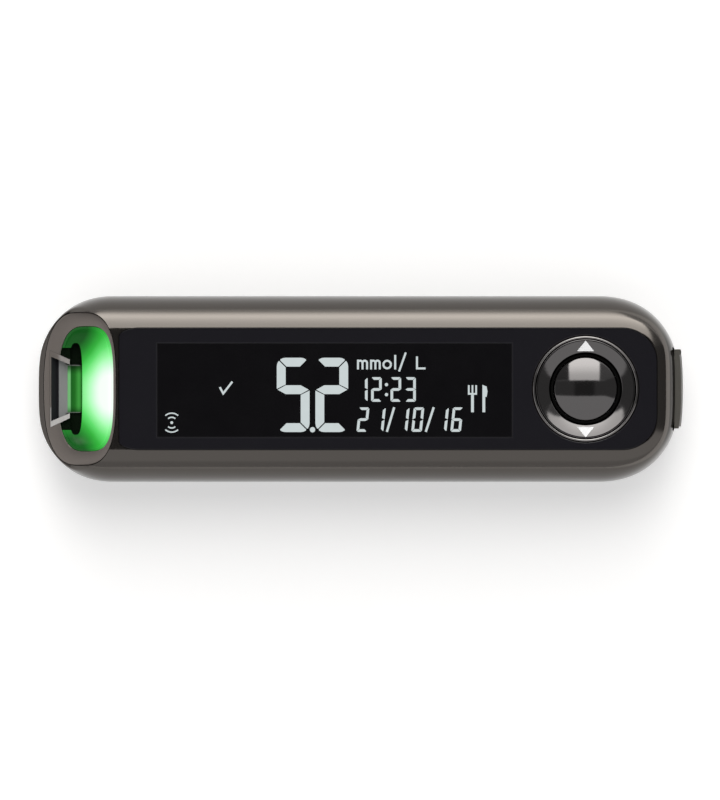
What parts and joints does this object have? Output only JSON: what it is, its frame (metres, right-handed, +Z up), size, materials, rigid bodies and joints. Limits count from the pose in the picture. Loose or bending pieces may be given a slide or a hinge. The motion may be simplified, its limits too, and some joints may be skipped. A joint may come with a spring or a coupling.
{
  "type": "blood glucose meter",
  "caption": "Slim handheld blood glucose meter with a lit test-strip port on its slanted nose, a black display window, a rocker ring round a select button, an end flap and a sliding battery door.",
  "frame": {"origin": "on the table under the middle of the meter, which lies on its flat back with the display up", "axes": "+X along the body towards the keys and the end flap, +Y across it towards the top of the display, +Z up out of the display"},
  "size_m": [0.0969, 0.028, 0.0149],
  "materials": {
    "metallised": "dark warm metallised gloss",
    "bright_trim": "thin bright metallised ring",
    "satin_ring": "satin mauve grey metallic",
    "satin_flap": "satin dark grey metallic",
    "black_window": "high gloss black",
    "black_chrome": "glossy black chrome",
    "black_plastic": "fine matt black",
    "dark_plastic": "fine textured dark grey",
    "grey_guide": "satin mid grey",
    "lit_green": "translucent, lit from below in green",
    "green_lamp": "clear green lamp",
    "soft_rubber": "matt silicone rubber",
    "plated_steel": "nickel plated sheet",
    "cell_steel": "bright rolled steel",
    "gold_contact": "gold plated",
    "circuit_board": "green solder mask",
    "chip_black": "moulded epoxy",
    "display_glass": "dark display glass",
    "white_diffuser": "white diffusing plastic"
  },
  "bodies": {
    "body": {"front_shell": "metallised", "rear_cover": "dark_plastic", "display_lens": "black_window", "trim_ring": "bright_trim", "button_guide": "black_plastic", "keypad_mat": "soft_rubber", "up_switch": "plated_steel", "down_switch": "plated_steel", "select_switch": "plated_steel", "port_ring": "satin_ring", "light_guide": "lit_green", "strip_guide": "grey_guide", "strip_connector": "black_plastic", "strip_contact_1": "gold_contact", "strip_contact_2": "gold_contact", "strip_contact_3": "gold_contact", "strip_contact_4": "gold_contact", "strip_contact_5": "gold_contact", "port_led": "green_lamp", "lcd_glass": "display_glass", "lcd_backlight": "white_diffuser", "lcd_frame": "dark_plastic", "lcd_connector": "soft_rubber", "main_board": "circuit_board", "microcontroller": "chip_black", "memory_chip": "chip_black", "radio_module": "plated_steel", "crystal": "plated_steel", "buzzer": "black_plastic", "usb_socket": "plated_steel", "coin_cell_1": "cell_steel", "coin_cell_2": "cell_steel", "battery_spring_1": "plated_steel", "battery_spring_2": "plated_steel", "battery_bridge": "plated_steel", "screw_1": "plated_steel", "screw_2": "plated_steel", "screw_3": "plated_steel", "screw_4": "plated_steel"},
    "rocker": {"nav_ring": "black_chrome"},
    "select": {"select_button": "black_chrome"},
    "flap": {"port_cover": "satin_flap"},
    "door": {"battery_door": "dark_plastic"}
  },
  "joints": [
    {"name": "nav_ring_rock", "type": "hinge", "parent": "body", "child": "rocker", "pos_m": [0.0337, 0, 0.01245], "axis": [1, 0, 0], "range_deg": [-3, 3], "stiffness_Nm_per_rad": 0.02},
    {"name": "select_press", "type": "slide", "parent": "body", "child": "select", "axis": [0, 0, -1], "range_m": [0, 0.00035], "stiffness_N_per_m": 400},
    {"name": "port_cover_swing", "type": "hinge", "parent": "body", "child": "flap", "pos_m": [0.0477, 0.0055, 0.0093], "axis": [0, 0, 1], "range_deg": [0, 100]},
    {"name": "battery_door_slide", "type": "slide", "parent": "body", "child": "door", "axis": [1, 0, 0], "range_m": [0, 0.058]}
  ]
}
